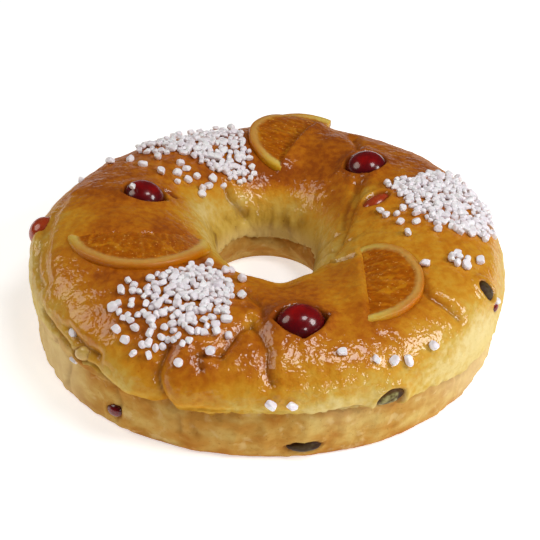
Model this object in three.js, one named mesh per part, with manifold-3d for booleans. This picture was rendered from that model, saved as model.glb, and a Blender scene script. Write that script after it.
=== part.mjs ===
// A roscon de reyes: a ring of sweet bread with glace cherries, candied orange slices, chips of
// candied fruit and pearl sugar. Millimetres, +Z up, the foot of the bread on z = 0.
import * as THREE from "three";
import { mergeVertices } from "three/addons/utils/BufferGeometryUtils.js";
import Module from "manifold-3d";

const wasm = await Module();
wasm.setup();

// Places on the bread are [angle, girth]. Angle is in degrees round the ring from +X, so the front
// is 270. Girth is in per cent of the way over the dough, from its outer foot at 0 over the crown
// at 50 to its foot in the hole at 100.

// Driving dimensions
const OUTER_RADIUS = 117;
const HOLE_RADIUS = 29;
const HEIGHT = 59;
const CLEARANCE = 0.35;
const CHERRY = 23;
const SLICE_THICKNESS = 4.6;
const GRAIN = 5;
const AXIS_X = 1.31;
const AXIS_Y = 0.28;

// Mesh steps
const COLUMNS = 84;
const FACE_STEPS = [1, 1, 2, 2, 1, 2, 2, 2, 2, 2, 2, 2, 1, 1, 1, 1, 1];
const CREASE_STEPS = 5;
const MERGE_DISTANCE = 1e-3;

// Slow swings round the ring, each [waves, amount, angle of a crest]
const OUTER_SWINGS = [[1, 1.5, 270], [2, 2.3, 35], [3, 2.2, 87]];
const HOLE_SWINGS = [[1, 6, 104], [2, 4.9, 98]];
const HEIGHT_SWINGS = [[1, 2.1, 245], [2, 4.5, 9]];
const CREASE_SWINGS = [[1, 6, 225], [3, 2.5, 280]];

// The cut face of the dough, each point [share of its width from outside to hole, share of its
// height, how far it follows the side crease up and down]. The fourth point is the crease between
// the paler foot and the browned dome.
const FACE = [
  [0.062, 0, 0], [0.038, 0.045, 0], [0.026, 0.21, 0.4], [0.03, 0.4, 1], [0, 0.53, 0.6],
  [0.015, 0.68, 0.2], [0.075, 0.83, 0], [0.2, 0.945, 0], [0.4, 1, 0], [0.6, 0.985, 0],
  [0.775, 0.9, 0], [0.9, 0.76, 0], [0.97, 0.6, 0], [1, 0.45, 0], [0.9825, 0.33, 0],
  [0.98, 0.2, 0], [0.925, 0.05, 0], [0.908, 0, 0],
];
const FACE_SPANS = FACE.length - 1;
const WIDEST_GIRTH = 29;
const HOLE_WAIST_GIRTH = 76;

// Folds in the dough. The dough stands up by raise on the left of the path, seen from outside.
const CREASES = [
  { path: [[259, 54.5], [264.5, 51.7], [267.5, 50], [268.5, 47.5]], depth: 2, width: 3.5, raise: 1 },
  { path: [[265, 46], [268, 43.6], [270, 41], [270, 36.8], [271, 33]], depth: 2, width: 3.5, raise: 1.2 },
  { path: [[265, 46], [261.5, 44], [260, 41.6], [258.5, 39]], depth: 2.2, width: 3.5, raise: -0.8 },
  { path: [[246, 38], [245.7, 31], [246.8, 26.5], [248.5, 18.4]], depth: 2.6, width: 4, raise: 2 },
  { path: [[322, 44.8], [320, 42.6], [321, 39.5], [322, 35.5]], depth: 1.8, width: 3.5, raise: 0.8 },
  { path: [[62.7, 43.4], [56, 47.8]], depth: 2, width: 3, raise: 0.8 },
  { path: [[38, 55], [32.5, 57], [13, 61], [347, 63], [328, 63]], depth: 3, width: 3.5, raise: 1.2 },
  { path: [[119, 61.5], [118.7, 65], [110, 71.6]], depth: 2.2, width: 3, raise: 1 },
  { path: [[152, 37], [165, 37.5], [178, 38.5], [193, 37], [207, 34]], depth: 1.8, width: 3.5, raise: 1.2 },
  { path: [[221, 30.5], [231, 29]], depth: 2.6, width: 3.5, raise: 1.4 },
];

// Soft swellings and hollows of the dome: place, rise and reach
const LUMPS = [
  { at: [252, 30], rise: 2, reach: 14 },
  { at: [236, 27], rise: 1.6, reach: 12 },
  { at: [290, 34], rise: 1.2, reach: 20 },
  { at: [330, 40], rise: 1, reach: 16 },
  { at: [68, 48], rise: 1.8, reach: 15 },
  { at: [85, 36], rise: 4, reach: 16 },
  { at: [30, 50], rise: 1.2, reach: 16 },
  { at: [130, 46], rise: 1.4, reach: 18 },
  { at: [172, 45], rise: 1.2, reach: 14 },
  { at: [156, 56.9], rise: -2.2, reach: 8 },
  { at: [258, 41], rise: -1.6, reach: 7 },
  { at: [216, 40], rise: -1.2, reach: 12 },
];

// Fruit set into the dough: size along the ring, across it and out of it, how far the middle lies
// under the skin, how far the dough swells round it, and how far it is turned on the skin.
const FRUITS = [
  { name: "cherry_front", at: [280, 46.4], size: [CHERRY, 0.9 * CHERRY, 0.86 * CHERRY], sink: 2.4, rim: 2.2, turn: 0 },
  { name: "cherry_left", at: [171, 52.3], size: [0.86 * CHERRY, 0.92 * CHERRY, 0.8 * CHERRY], sink: 2.6, rim: 1.6, turn: 0 },
  { name: "cherry_right", at: [46, 51], size: [CHERRY, 0.94 * CHERRY, 0.84 * CHERRY], sink: 2.6, rim: 2, turn: 0 },
  { name: "cherry_edge", at: [183, 32.5], size: [0.72 * CHERRY, 0.7 * CHERRY, 0.66 * CHERRY], sink: 2.2, rim: 1, turn: 0 },
  { name: "cherry_lens", at: [15, 55.4], size: [10, 17, 9], sink: 2.6, rim: 1.4, turn: 20 },
  { name: "cherry_foot", at: [234, 10.5], size: [9, 7, 6], sink: 0.8, rim: 0.3, turn: 10 },
  { name: "fruit_foot", at: [279, 9], size: [16, 6.5, 7], sink: 1, rim: 0.2, turn: 0 },
  { name: "fruit_side", at: [298, 23], size: [16, 9, 7], sink: 1, rim: 0.6, turn: 12 },
  { name: "fruit_right", at: [335, 35], size: [9, 11, 7], sink: 0.8, rim: 0.6, turn: 0 },
  { name: "cherry_chip", at: [336, 30], size: [6, 6, 5], sink: 0.6, rim: 0.2, turn: 0 },
  { name: "peel_left", at: [226.5, 26.4], size: [10, 7, 6], sink: 0.4, rim: 0.4, turn: 30 },
];
const LARGE_FRUIT = 16.2;

// Half slices of candied orange: the middle of the straight edge as angle and distance from the
// ring's axis, radius of the slice, the direction its rind faces, how far the rind stands up and
// the straight edge is tucked in, and how far it stays flat instead of following the dough.
const SLICES = [
  { name: "orange_left", angle: 198, distance: 67, radius: 34.5, facing: 277, lift: -0.4, tuck: 3, flatness: 0.2 },
  { name: "orange_back", angle: 78, distance: 88, radius: 32.5, facing: 154, lift: 1.2, tuck: 2.6, flatness: 0.7 },
  { name: "orange_right", angle: 310, distance: 67, radius: 28.5, facing: 2, lift: 0.2, tuck: 3, flatness: 0.2 },
];
const SLICE_RINGS = [0, 0.5, 0.86, 1];
const SLICE_COLUMNS = 10;
const FLESH_RING = 0.86;
const FLESH_SINK = 0.6;

// Pearl sugar: patches with their reach along and across the ring, and single grains
const SUGAR_PATCHES = [
  { at: [243, 46.5], along: 27, across: 25, count: 36 },
  { at: [9, 43.5], along: 32, across: 26, count: 44 },
  { at: [122, 50], along: 40, across: 23, count: 38 },
];
const SUGAR_STRAYS = [
  [162, 38], [151.5, 41], [143, 54], [329.5, 46], [337, 41], [311, 34], [296, 36], [300, 34.5],
  [303.5, 33.5], [288.5, 39], [271, 26], [275.5, 26], [256, 56], [256, 39], [222, 30],
];
const SUGAR_ON_CHERRY = { name: "cherry_left", at: [176, 50.6] };
const GRAIN_SPACING = 4.7;
const GRAIN_MARGIN = 3.4;
const MM_PER_GIRTH = 1.9;

const COLOURS = {
  bread: 0xc07a22, cherry: 0x6d0d10, chip: 0x4a4a22, peel: 0xb9a85a, orange: 0xcf7f1e,
};

function seededRandom(seed) {
  let state = seed;
  return () => {
    state = (state * 16807) % 2147483647;
    return state / 2147483647;
  };
}

function cosine(degrees) {
  return Math.cos(THREE.MathUtils.degToRad(degrees));
}

function sine(degrees) {
  return Math.sin(THREE.MathUtils.degToRad(degrees));
}

function swing(swings, angle) {
  return swings.reduce((sum, [waves, amount, crest]) => sum + amount * cosine(waves * (angle - crest)), 0);
}

function bell(distance, reach) {
  return Math.exp(-((distance / reach) ** 2));
}

// One point of the cut face at an angle, as distance from the axis and height
function faceCorner(index, angle) {
  const [across, up, follow] = FACE[THREE.MathUtils.clamp(index, 0, FACE_SPANS)];
  const outer = OUTER_RADIUS + swing(OUTER_SWINGS, angle);
  const hole = HOLE_RADIUS + swing(HOLE_SWINGS, angle);
  const height = HEIGHT + swing(HEIGHT_SWINGS, angle);
  return new THREE.Vector2(
    outer + (hole - outer) * across,
    up * height + follow * swing(CREASE_SWINGS, angle),
  );
}

// The smooth cut face, a Catmull-Rom curve through its corners
function faceAt(angle, girth) {
  const place = (THREE.MathUtils.clamp(girth, 0, 100) / 100) * FACE_SPANS;
  const span = Math.min(Math.floor(place), FACE_SPANS - 1);
  const t = place - span;
  const [a, b, c, d] = [-1, 0, 1, 2].map((step) => faceCorner(span + step, angle));
  const curve = (p, q, r, s) =>
    0.5 * (2 * q + (r - p) * t + (2 * p - 5 * q + 4 * r - s) * t ** 2 + (3 * q - p - 3 * r + s) * t ** 3);
  return new THREE.Vector2(curve(a.x, b.x, c.x, d.x), Math.max(0, curve(a.y, b.y, c.y, d.y)));
}

function smoothSkin(angle, girth) {
  const face = faceAt(angle, girth);
  return new THREE.Vector3(face.x * cosine(angle), face.x * sine(angle), face.y);
}

// Directions on the skin: along the ring, across it towards the hole, and out of the dough
function skinFrame(angle, girth) {
  const step = 0.5;
  const along = smoothSkin(angle + step, girth).sub(smoothSkin(angle - step, girth)).normalize();
  const across = smoothSkin(angle, girth + step).sub(smoothSkin(angle, girth - step)).normalize();
  const out = new THREE.Vector3().crossVectors(along, across).negate().normalize();
  if (out.dot(smoothSkin(angle, girth).sub(coreOf(angle))) < 0) out.negate();
  return { along, across: new THREE.Vector3().crossVectors(out, along), out };
}

// The middle of the dough's cut face at an angle
function coreOf(angle) {
  const middle = 0.5 * (faceAt(angle, WIDEST_GIRTH).x + faceAt(angle, HOLE_WAIST_GIRTH).x);
  return new THREE.Vector3(middle * cosine(angle), middle * sine(angle), HEIGHT / 2);
}

// A crease's path as points on the smooth skin
function creaseLine(path) {
  const points = [];
  for (let i = 0; i < path.length - 1; i++) {
    const turn = ((path[i + 1][0] - path[i][0] + 540) % 360) - 180;
    for (let step = 0; step < CREASE_STEPS; step++) {
      const share = step / CREASE_STEPS;
      const girth = path[i][1] + (path[i + 1][1] - path[i][1]) * share;
      points.push(smoothSkin(path[i][0] + turn * share, girth));
    }
  }
  points.push(smoothSkin(...path[path.length - 1]));
  return points;
}

// How far a crease moves a point of the skin out
function creaseRelief(crease, point, out) {
  let nearest = Infinity;
  let side = 0;
  for (let i = 0; i < crease.line.length - 1; i++) {
    const stretch = new THREE.Line3(crease.line[i], crease.line[i + 1]);
    const offset = point.clone().sub(stretch.closestPointToPoint(point, true, new THREE.Vector3()));
    if (offset.length() >= nearest) continue;
    nearest = offset.length();
    side = Math.sign(stretch.delta(new THREE.Vector3()).cross(offset).dot(out));
  }
  const lobe = Math.sign(crease.raise) * side > 0 ? Math.abs(crease.raise) : 0;
  const clear = THREE.MathUtils.smoothstep(nearest, 0, crease.width);
  return lobe * clear * bell(nearest, 3 * crease.width) - crease.depth * bell(nearest, crease.width);
}

const creases = CREASES.map((crease) => ({ ...crease, line: creaseLine(crease.path) }));
const lumps = LUMPS.map((lump) => ({ ...lump, middle: smoothSkin(...lump.at) }));
const rims = FRUITS.map((fruit) => ({
  rise: fruit.rim, middle: smoothSkin(...fruit.at), radius: (fruit.size[0] + fruit.size[1]) / 4 + 1.5,
}));

// The skin's relief, fading out at both feet
function relief(point, out, girth) {
  let rise = 0;
  for (const crease of creases) rise += creaseRelief(crease, point, out);
  for (const lump of lumps) rise += lump.rise * bell(point.distanceTo(lump.middle), lump.reach);
  for (const rim of rims) rise += rim.rise * bell(point.distanceTo(rim.middle) - rim.radius, 3);
  return rise * THREE.MathUtils.smoothstep(girth, 2, 9) * THREE.MathUtils.smoothstep(100 - girth, 2, 9);
}

function skin(angle, girth) {
  const point = smoothSkin(angle, girth);
  const { out } = skinFrame(angle, girth);
  return point.addScaledVector(out, relief(point, out, girth));
}

// A closed body from triangles, with shared corners merged and slivers left out
function solid(geometry) {
  const bare = new THREE.BufferGeometry().setAttribute("position", geometry.getAttribute("position"));
  if (geometry.index) bare.setIndex(geometry.index);
  const merged = mergeVertices(bare, MERGE_DISTANCE);
  const corners = merged.index.array;
  const kept = [];
  for (let i = 0; i < corners.length; i += 3) {
    const [a, b, c] = [corners[i], corners[i + 1], corners[i + 2]];
    if (a !== b && b !== c && c !== a) kept.push(a, b, c);
  }
  const vertProperties = new Float32Array(merged.attributes.position.array);
  return new wasm.Manifold(new wasm.Mesh({ numProp: 3, vertProperties, triVerts: new Uint32Array(kept) }));
}

// The largest body of a solid: loose scraps and sealed hollows are left out
function mainBody(made) {
  return made.decompose().reduce((best, body) => (body.volume() > best.volume() ? body : best));
}

function geometryOf(made) {
  const mesh = made.getMesh();
  const geometry = new THREE.BufferGeometry();
  geometry.setAttribute("position", new THREE.BufferAttribute(mesh.vertProperties, 3));
  geometry.setIndex(new THREE.BufferAttribute(mesh.triVerts, 1));
  geometry.computeVertexNormals();
  return geometry;
}

function fromPoints(points, triangles) {
  return new THREE.BufferGeometry().setFromPoints(points).setIndex(triangles);
}

// The girths of the mesh's rows, with one or two steps to each stretch of the cut face
function rowGirths() {
  const girths = FACE_STEPS.flatMap((steps, span) =>
    Array.from({ length: steps }, (_, step) => (100 * (span + step / steps)) / FACE_SPANS),
  );
  return [...girths, 100];
}

// The bare dough: a ring of cut faces whose two feet are joined by the flat underside
function doughRing() {
  const girths = rowGirths();
  const rows = girths.length;
  const points = [];
  const triangles = [];
  for (let column = 0; column < COLUMNS; column++) {
    for (let row = 0; row < rows; row++) {
      points.push(skin((360 * column) / COLUMNS, girths[row]));
      const here = column * rows + row;
      const up = column * rows + ((row + 1) % rows);
      const beside = ((column + 1) % COLUMNS) * rows + row;
      const corner = ((column + 1) % COLUMNS) * rows + ((row + 1) % rows);
      triangles.push(here, beside, corner, here, corner, up);
    }
  }
  return solid(fromPoints(points, triangles));
}

// A piece of fruit, slightly uneven, lying in the skin's own directions; margin makes its seat
function fruitSolid(fruit, margin) {
  const [across, rings] = fruit.size[0] > LARGE_FRUIT ? [14, 8] : [9, 5];
  const geometry = new THREE.SphereGeometry(0.5, across, rings);
  const corners = geometry.getAttribute("position");
  const frame = skinFrame(...fruit.at);
  const middle = skin(...fruit.at).addScaledVector(frame.out, -fruit.sink - fruit.rim * 0.4);
  const turned = new THREE.Matrix4().makeBasis(frame.along, frame.across, frame.out);
  for (let i = 0; i < corners.count; i++) {
    const corner = new THREE.Vector3().fromBufferAttribute(corners, i);
    const uneven = 1 + 0.08 * corner.x * corner.y - 0.05 * Math.abs(corner.z);
    const size = fruit.size.map((length) => length * uneven + 2 * margin);
    corner.set(corner.x * size[0], corner.y * size[1], corner.z * size[2]);
    corner.applyAxisAngle(new THREE.Vector3(0, 0, 1), THREE.MathUtils.degToRad(fruit.turn));
    corner.applyMatrix4(turned).add(middle);
    corners.setXYZ(i, corner.x, corner.y, corner.z);
  }
  return solid(geometry);
}

// The girth at which the top of the dough is at a distance from the axis
function girthOnTop(angle, distance) {
  let [outside, inside] = [WIDEST_GIRTH + 3, HOLE_WAIST_GIRTH - 3];
  for (let halving = 0; halving < 30; halving++) {
    const middle = (outside + inside) / 2;
    if (faceAt(angle, middle).x > distance) outside = middle;
    else inside = middle;
  }
  return (outside + inside) / 2;
}

function topHeight(x, y) {
  const angle = THREE.MathUtils.radToDeg(Math.atan2(y, x));
  return faceAt(angle, girthOnTop(angle, Math.hypot(x, y))).y;
}

// A point of a slice: forward of its straight edge, sideways along it, and up from its middle
function slicePoint(slice, forward, sideways, up) {
  const middle = 0.42 * slice.radius;
  const startX = slice.distance * cosine(slice.angle);
  const startY = slice.distance * sine(slice.angle);
  const x = startX + forward * cosine(slice.facing) - sideways * sine(slice.facing);
  const y = startY + forward * sine(slice.facing) + sideways * cosine(slice.facing);
  const level = topHeight(startX + middle * cosine(slice.facing), startY + middle * sine(slice.facing));
  const draped = topHeight(x, y) * (1 - slice.flatness) + level * slice.flatness;
  const share = forward / slice.radius;
  return new THREE.Vector3(x, y, draped + slice.lift * share - slice.tuck * (1 - share) ** 2 + up);
}

// A half slice of orange whose flesh lies a little under its pith and rind
function sliceSolid(slice, margin) {
  const points = [];
  const triangles = [];
  const width = SLICE_COLUMNS + 1;
  const rings = SLICE_RINGS.length;
  for (const face of [1, -1]) {
    for (const ring of SLICE_RINGS) {
      for (let column = 0; column < width; column++) {
        const spread = (180 * column) / SLICE_COLUMNS - 90;
        const forward = ring * cosine(spread) * (slice.radius + 2 * margin) - margin;
        const sideways = ring * sine(spread) * (slice.radius + margin);
        const sunk = face > 0 && ring < FLESH_RING && margin === 0 ? FLESH_SINK : 0;
        const up = face * (SLICE_THICKNESS / 2 + margin) - sunk;
        points.push(slicePoint(slice, forward, sideways, up));
      }
    }
  }
  const half = rings * width;
  const quad = (a, b, c, d) => triangles.push(a, b, c, a, c, d);
  for (let ring = 0; ring < rings - 1; ring++) {
    for (let column = 0; column < SLICE_COLUMNS; column++) {
      const here = ring * width + column;
      quad(here, here + width, here + width + 1, here + 1);
      quad(half + here, half + here + 1, half + here + width + 1, half + here + width);
    }
    const [first, last] = [ring * width, ring * width + SLICE_COLUMNS];
    quad(first, half + first, half + first + width, first + width);
    quad(last + width, half + last + width, half + last, last);
  }
  for (let column = 0; column < SLICE_COLUMNS; column++) {
    const here = (rings - 1) * width + column;
    quad(here, half + here, half + here + 1, here + 1);
  }
  return solid(fromPoints(points, triangles));
}

// A nib of pearl sugar: a block with uneven corners, a third of it sunk in what it lies on
function grainSolid(point, out, size, random) {
  const block = new THREE.BoxGeometry(size, size * (0.7 + 0.25 * random()), size * 0.75);
  block.deleteAttribute("normal");
  block.deleteAttribute("uv");
  const geometry = mergeVertices(block, MERGE_DISTANCE);
  const corners = geometry.getAttribute("position");
  const turn = new THREE.Quaternion().setFromUnitVectors(new THREE.Vector3(0, 0, 1), out);
  const spin = new THREE.Quaternion().setFromEuler(
    new THREE.Euler(0.5 * random() - 0.25, 0.5 * random() - 0.25, 2 * Math.PI * random()),
  );
  for (let i = 0; i < corners.count; i++) {
    const corner = new THREE.Vector3().fromBufferAttribute(corners, i);
    corner.multiplyScalar(0.86 + 0.26 * random()).applyQuaternion(spin).applyQuaternion(turn);
    corner.add(point).addScaledVector(out, 0.12 * size);
    corners.setXYZ(i, corner.x, corner.y, corner.z);
  }
  return solid(geometry);
}

// Whether a place on the skin is clear of every cherry, chip and slice
function clearOfFruit(point) {
  for (const fruit of FRUITS) {
    const reach = Math.max(fruit.size[0], fruit.size[1]) / 2 + GRAIN_MARGIN;
    if (point.distanceTo(smoothSkin(...fruit.at)) < reach) return false;
  }
  for (const slice of SLICES) {
    const away = new THREE.Vector2(
      point.x - slice.distance * cosine(slice.angle),
      point.y - slice.distance * sine(slice.angle),
    );
    const forward = away.x * cosine(slice.facing) + away.y * sine(slice.facing);
    if (forward > -GRAIN_MARGIN && away.length() < slice.radius + GRAIN_MARGIN) return false;
  }
  return true;
}

// Places for grains, the largest first: the strays, then each patch filled at random
function sugarPlaces(random) {
  const places = SUGAR_STRAYS.map((at) => ({ at, size: GRAIN }));
  const taken = places.map(({ at }) => skin(...at));
  for (const patch of SUGAR_PATCHES) {
    let placed = 0;
    for (let attempt = 0; attempt < 40 * patch.count && placed < patch.count; attempt++) {
      const reach = Math.sqrt(random());
      const turn = 360 * random();
      const around = (patch.along * reach * cosine(turn)) / faceAt(...patch.at).x;
      const angle = patch.at[0] + THREE.MathUtils.radToDeg(around);
      const girth = patch.at[1] + (patch.across * reach * sine(turn)) / MM_PER_GIRTH;
      const point = skin(angle, girth);
      if (!clearOfFruit(point) || taken.some((other) => other.distanceTo(point) < GRAIN_SPACING)) continue;
      taken.push(point);
      placed += 1;
      places.push({ at: [angle, girth], size: GRAIN * (1.05 - (0.25 * placed) / patch.count) });
    }
  }
  return places;
}

function breadSolid(fruits, slices) {
  const random = seededRandom(1706);
  const grains = sugarPlaces(random).map(({ at, size }) =>
    grainSolid(skin(...at), skinFrame(...at).out, size, random),
  );
  const seats = [
    ...fruits.map((fruit) => fruitSolid(fruit, CLEARANCE)),
    ...slices.map((slice) => sliceSolid(slice, CLEARANCE)),
  ];
  const sugared = wasm.Manifold.union([doughRing(), ...grains]);
  return mainBody(sugared.subtract(wasm.Manifold.union(seats)));
}

// The grain that has landed on a cherry
function sugaredCherry(fruit) {
  const frame = skinFrame(...SUGAR_ON_CHERRY.at);
  const middle = skin(...fruit.at).addScaledVector(frame.out, -fruit.sink);
  const top = middle.addScaledVector(frame.out, fruit.size[2] * 0.42);
  top.addScaledVector(frame.along, fruit.size[0] * 0.2);
  return mainBody(fruitSolid(fruit, 0).add(grainSolid(top, frame.out, 0.8 * GRAIN, seededRandom(77))));
}

function namedMesh(name, made, colour, roughness) {
  const material = new THREE.MeshStandardMaterial({ color: colour, roughness, metalness: 0 });
  const mesh = new THREE.Mesh(geometryOf(made), material);
  mesh.name = name;
  return mesh;
}

function fruitColour(name) {
  if (name.startsWith("cherry")) return COLOURS.cherry;
  return name.startsWith("peel") ? COLOURS.peel : COLOURS.chip;
}

// The ring's axis stands a little off the middle of its uneven outline
const ring = new THREE.Group();
ring.position.set(AXIS_X, AXIS_Y, 0);
ring.add(namedMesh("bread", breadSolid(FRUITS, SLICES), COLOURS.bread, 0.35));
for (const fruit of FRUITS) {
  const made = fruit.name === SUGAR_ON_CHERRY.name ? sugaredCherry(fruit) : fruitSolid(fruit, 0);
  ring.add(namedMesh(fruit.name, made, fruitColour(fruit.name), 0.12));
}
for (const slice of SLICES) {
  ring.add(namedMesh(slice.name, sliceSolid(slice, 0), COLOURS.orange, 0.3));
}

const group = new THREE.Group();
group.add(ring);

export default group;
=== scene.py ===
# A roscon de reyes as photographed: glazed sweet bread with glace cherries, candied orange slices,
# chips of candied fruit and pearl sugar.
import math

import bmesh
import bpy
import numpy as np
from mathutils import Matrix, Vector, noise


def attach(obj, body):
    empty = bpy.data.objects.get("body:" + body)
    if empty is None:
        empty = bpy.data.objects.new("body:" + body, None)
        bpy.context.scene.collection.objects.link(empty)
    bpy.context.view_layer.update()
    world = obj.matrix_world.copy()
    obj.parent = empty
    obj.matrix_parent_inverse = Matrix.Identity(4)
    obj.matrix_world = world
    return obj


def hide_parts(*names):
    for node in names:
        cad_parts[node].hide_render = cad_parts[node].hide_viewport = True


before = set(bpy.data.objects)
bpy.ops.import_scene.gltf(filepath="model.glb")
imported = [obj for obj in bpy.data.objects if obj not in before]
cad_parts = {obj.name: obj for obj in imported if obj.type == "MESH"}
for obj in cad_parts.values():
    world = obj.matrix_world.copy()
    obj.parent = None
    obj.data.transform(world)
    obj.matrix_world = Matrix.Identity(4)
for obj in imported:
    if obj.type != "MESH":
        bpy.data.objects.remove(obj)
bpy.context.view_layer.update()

# The pieces are worked out in millimetres round the ring's own axis. Places on the bread are
# [angle, girth]. Angle is in degrees round the ring from +X, so the front is 270. Girth is in per
# cent of the way over the dough, from its outer foot at 0 over the crown at 50 to its foot in the
# hole at 100.
MM = 0.001
AXIS = (1.31, 0.28, 0)
OUTER_RADIUS = 117
HOLE_RADIUS = 29
HEIGHT = 59
CHERRY = 23
SLICE_THICKNESS = 4.6
GRAIN = 5

# Slow swings round the ring, each [waves, amount, angle of a crest]
OUTER_SWINGS = [[1, 1.5, 270], [2, 2.3, 35], [3, 2.2, 87]]
HOLE_SWINGS = [[1, 6, 104], [2, 4.9, 98]]
HEIGHT_SWINGS = [[1, 2.1, 245], [2, 4.5, 9]]
CREASE_SWINGS = [[1, 6, 225], [3, 2.5, 280]]

# The cut face of the dough, each point [share of its width from outside to hole, share of its
# height, how far it follows the side crease up and down]
FACE = np.array([
    [0.062, 0, 0], [0.038, 0.045, 0], [0.026, 0.21, 0.4], [0.03, 0.4, 1], [0, 0.53, 0.6],
    [0.015, 0.68, 0.2], [0.075, 0.83, 0], [0.2, 0.945, 0], [0.4, 1, 0], [0.6, 0.985, 0],
    [0.775, 0.9, 0], [0.9, 0.76, 0], [0.97, 0.6, 0], [1, 0.45, 0], [0.9825, 0.33, 0],
    [0.98, 0.2, 0], [0.925, 0.05, 0], [0.908, 0, 0],
])
FACE_SPANS = len(FACE) - 1
WIDEST_GIRTH = 29
HOLE_WAIST_GIRTH = 76
MM_PER_GIRTH = 1.9

# The seam between the dome and the foot wanders by these swings. Towards one angle the colour of
# the foot climbs above it.
SEAM_GIRTH = 17.6
HOLE_SEAM_GIRTH = 82.4
SEAM_SWINGS = [[5, 0.9, 10], [11, 0.6, 90 / 11], [23, 0.3, 0]]
SEAM_CLIMBS = {"towards": 220, "girth": 7, "reach": 15}

# Where painted shade darkens the hole's wall, and where the browning reaches further down it
SHADED_TOWARDS = 350
BROWNED_WALL_TOWARDS = 20
BROWNED_WALL_GIRTH = 3.5

# Folds in the dough, each [path, depth, width, raise, slit]. The dough stands up by raise on the
# left of the path, seen from outside, and slit is how much deeper the very bottom of the fold is.
CREASES = [
    [[[259, 54.5], [264.5, 51.7], [267.5, 50], [268.5, 47.5]], 2, 3.5, 1, 0.9],
    [[[265, 46], [268, 43.6], [270, 41], [270, 36.8], [271, 33]], 2, 3.5, 1.2, 1.2],
    [[[265, 46], [261.5, 44], [260, 41.6], [258.5, 39]], 2.2, 3.5, -0.8, 1.2],
    [[[246, 38], [245.7, 31], [246.8, 26.5], [248.5, 18.4]], 2.6, 4, 2, 1.2],
    [[[322, 44.8], [320, 42.6], [321, 39.5], [322, 35.5]], 1.8, 3.5, 0.8, 1],
    [[[62.7, 43.4], [56, 47.8]], 2, 3, 0.8, 0.8],
    [[[38, 55], [32.5, 57], [13, 61], [347, 63], [328, 63]], 3, 3.5, 1.2, 0.6],
    [[[119, 61.5], [118.7, 65], [110, 71.6]], 2.2, 3, 1, 0.8],
    [[[152, 37], [165, 37.5], [178, 38.5], [193, 37], [207, 34]], 1.8, 3.5, 1.2, 0],
    [[[221, 30.5], [231, 29]], 2.6, 3.5, 1.4, 1.2],
]
# and finer ones that only the detailed dough has
FINE_CREASES = [
    [[[258.5, 39], [253.5, 37.6], [255, 34.8]], 1, 2.5, 0.6, 1.2],
    [[[180, 34.4], [189, 36], [199.5, 32.4], [205.5, 32]], 1, 2.5, -0.7, 0.5],
    [[[174.5, 41.2], [176.5, 45.6], [177, 48]], 0.5, 2, 0.4, 0.1],
    [[[40, 56], [34.5, 57.2], [28, 60], [19, 62], [5, 63]], 0.5, 2, 0.5, 0.9],
    [[[323, 57], [318, 60], [317, 63], [321, 68]], 1.2, 2, 0.8, 1.2],
    [[[2, 61], [358, 66], [1, 71]], 0.8, 2.5, 0.5, 0.4],
    [[[342, 60], [338, 64], [341, 70]], 0.8, 2.5, 0.6, 0.5],
    [[[300, 44.5], [299, 41], [303, 38.5]], 0.4, 2, 0.3, 0.2],
    [[[210, 27.5], [222, 26], [231, 24], [237, 21], [243, 17.6]], 1.4, 2.5, 0.9, 1],
    [[[284, 19.5], [290, 20.5], [297, 19], [305, 18]], 0.8, 2, 0.6, 0.7],
    [[[250.5, 15.2], [250.5, 11]], 0.5, 1.6, 0.4, 0.6],
    [[[253, 14.4], [254.5, 10.5]], 0.5, 1.6, 0.4, 0.6],
    [[[234, 19], [236, 13], [234, 8]], 0.7, 2, 0.6, 0.6],
    [[[217, 22], [220, 15], [218, 9]], 0.7, 2, -0.6, 0.5],
]
CREASE_STEPS = 5

# Soft swellings and hollows of the dome: place, rise and reach
LUMPS = [
    [[252, 30], 2, 14], [[236, 27], 1.6, 12], [[290, 34], 1.2, 20], [[330, 40], 1, 16],
    [[68, 48], 1.8, 15], [[85, 36], 4, 16], [[30, 50], 1.2, 16], [[130, 46], 1.4, 18],
    [[172, 45], 1.2, 14], [[156, 56.9], -2.2, 8], [[258, 41], -1.6, 7], [[216, 40], -1.2, 12],
]
# and those that only the detailed dough has
FINE_LUMPS = [
    [[190, 34], 2.6, 7], [[224, 30], 1.2, 8], [[240, 22], 1.4, 8], [[301, 22], 0.8, 8],
    [[278, 59], -1.8, 6], [[262, 60], 1.4, 8], [[294, 61], 1.6, 8],
]

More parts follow.
